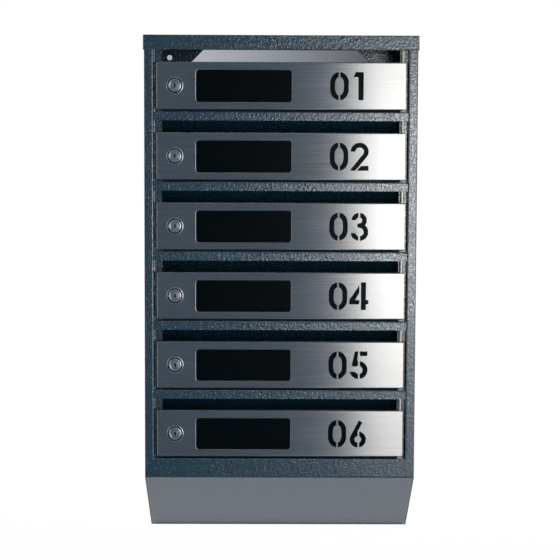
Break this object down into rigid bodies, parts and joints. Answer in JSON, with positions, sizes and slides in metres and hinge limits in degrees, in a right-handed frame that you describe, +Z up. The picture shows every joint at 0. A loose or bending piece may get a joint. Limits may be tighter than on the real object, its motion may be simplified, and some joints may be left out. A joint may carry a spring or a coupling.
{
  "type": "cluster mailbox unit",
  "caption": "Wall-hung apartment mailbox column: wrinkle-painted folded steel carcass, stainless doors on a hinge rod with cam locks and smoked windows, mail slots above, sloped floors.",
  "frame": {"origin": "middle of the underside of the bounding box, at the lower edge that lies on the wall", "axes": "+Z up, doors face -Y, the wall is at +Y, +X towards the hinge side"},
  "size_m": [0.3926, 0.1428, 0.7377],
  "materials": {
    "wrinkle_paint": "dark blue-grey wrinkle powder coat",
    "brushed_stainless": "horizontal brush",
    "smoked_acrylic": "polished",
    "plated_zinc": "satin plated",
    "bright_steel": "zinc plated",
    "pale_nylon": "moulded"
  },
  "bodies": {
    "cabinet": {"left_side_panel": "wrinkle_paint", "right_side_panel": "wrinkle_paint", "top_cap": "wrinkle_paint", "bottom_panel": "wrinkle_paint", "left_gusset": "wrinkle_paint", "right_gusset": "wrinkle_paint", "hinge_rod": "bright_steel", "shelf_1": "wrinkle_paint", "shelf_2": "wrinkle_paint", "shelf_3": "wrinkle_paint", "shelf_4": "wrinkle_paint", "shelf_5": "wrinkle_paint", "hinge_washer_01": "pale_nylon", "hinge_washer_02": "pale_nylon", "hinge_washer_03": "pale_nylon", "hinge_washer_04": "pale_nylon", "hinge_washer_05": "pale_nylon", "hinge_washer_06": "pale_nylon"},
    "door_leaf_01": {"door_01": "brushed_stainless", "smoked_pane_01": "smoked_acrylic", "lock_body_01": "plated_zinc", "lock_nut_01": "bright_steel"},
    "lock_01": {"lock_plug_01": "plated_zinc", "lock_cam_01": "bright_steel"},
    "door_leaf_02": {"door_02": "brushed_stainless", "smoked_pane_02": "smoked_acrylic", "lock_body_02": "plated_zinc", "lock_nut_02": "bright_steel"},
    "lock_02": {"lock_plug_02": "plated_zinc", "lock_cam_02": "bright_steel"},
    "door_leaf_03": {"door_03": "brushed_stainless", "smoked_pane_03": "smoked_acrylic", "lock_body_03": "plated_zinc", "lock_nut_03": "bright_steel"},
    "lock_03": {"lock_plug_03": "plated_zinc", "lock_cam_03": "bright_steel"},
    "door_leaf_04": {"door_04": "brushed_stainless", "smoked_pane_04": "smoked_acrylic", "lock_body_04": "plated_zinc", "lock_nut_04": "bright_steel"},
    "lock_04": {"lock_plug_04": "plated_zinc", "lock_cam_04": "bright_steel"},
    "door_leaf_05": {"door_05": "brushed_stainless", "smoked_pane_05": "smoked_acrylic", "lock_body_05": "plated_zinc", "lock_nut_05": "bright_steel"},
    "lock_05": {"lock_plug_05": "plated_zinc", "lock_cam_05": "bright_steel"},
    "door_leaf_06": {"door_06": "brushed_stainless", "smoked_pane_06": "smoked_acrylic", "lock_body_06": "plated_zinc", "lock_nut_06": "bright_steel"},
    "lock_06": {"lock_plug_06": "plated_zinc", "lock_cam_06": "bright_steel"}
  },
  "joints": [
    {"name": "door_swing_01", "type": "hinge", "parent": "cabinet", "child": "door_leaf_01", "pos_m": [0.174, -0.0646, 0.6661], "axis": [0, 0, 1], "range_deg": [0, 115]},
    {"name": "key_turn_01", "type": "hinge", "parent": "door_leaf_01", "child": "lock_01", "pos_m": [-0.151, -0.0681, 0.6661], "axis": [0, 1, 0], "range_deg": [0, 90]},
    {"name": "door_swing_02", "type": "hinge", "parent": "cabinet", "child": "door_leaf_02", "pos_m": [0.174, -0.0646, 0.5661], "axis": [0, 0, 1], "range_deg": [0, 115]},
    {"name": "key_turn_02", "type": "hinge", "parent": "door_leaf_02", "child": "lock_02", "pos_m": [-0.151, -0.0681, 0.5661], "axis": [0, 1, 0], "range_deg": [0, 90]},
    {"name": "door_swing_03", "type": "hinge", "parent": "cabinet", "child": "door_leaf_03", "pos_m": [0.174, -0.0646, 0.4661], "axis": [0, 0, 1], "range_deg": [0, 115]},
    {"name": "key_turn_03", "type": "hinge", "parent": "door_leaf_03", "child": "lock_03", "pos_m": [-0.151, -0.0681, 0.4661], "axis": [0, 1, 0], "range_deg": [0, 90]},
    {"name": "door_swing_04", "type": "hinge", "parent": "cabinet", "child": "door_leaf_04", "pos_m": [0.174, -0.0646, 0.3661], "axis": [0, 0, 1], "range_deg": [0, 115]},
    {"name": "key_turn_04", "type": "hinge", "parent": "door_leaf_04", "child": "lock_04", "pos_m": [-0.151, -0.0681, 0.3661], "axis": [0, 1, 0], "range_deg": [0, 90]},
    {"name": "door_swing_05", "type": "hinge", "parent": "cabinet", "child": "door_leaf_05", "pos_m": [0.174, -0.0646, 0.2661], "axis": [0, 0, 1], "range_deg": [0, 115]},
    {"name": "key_turn_05", "type": "hinge", "parent": "door_leaf_05", "child": "lock_05", "pos_m": [-0.151, -0.0681, 0.2661], "axis": [0, 1, 0], "range_deg": [0, 90]},
    {"name": "door_swing_06", "type": "hinge", "parent": "cabinet", "child": "door_leaf_06", "pos_m": [0.174, -0.0646, 0.1661], "axis": [0, 0, 1], "range_deg": [0, 115]},
    {"name": "key_turn_06", "type": "hinge", "parent": "door_leaf_06", "child": "lock_06", "pos_m": [-0.151, -0.0681, 0.1661], "axis": [0, 1, 0], "range_deg": [0, 90]}
  ]
}
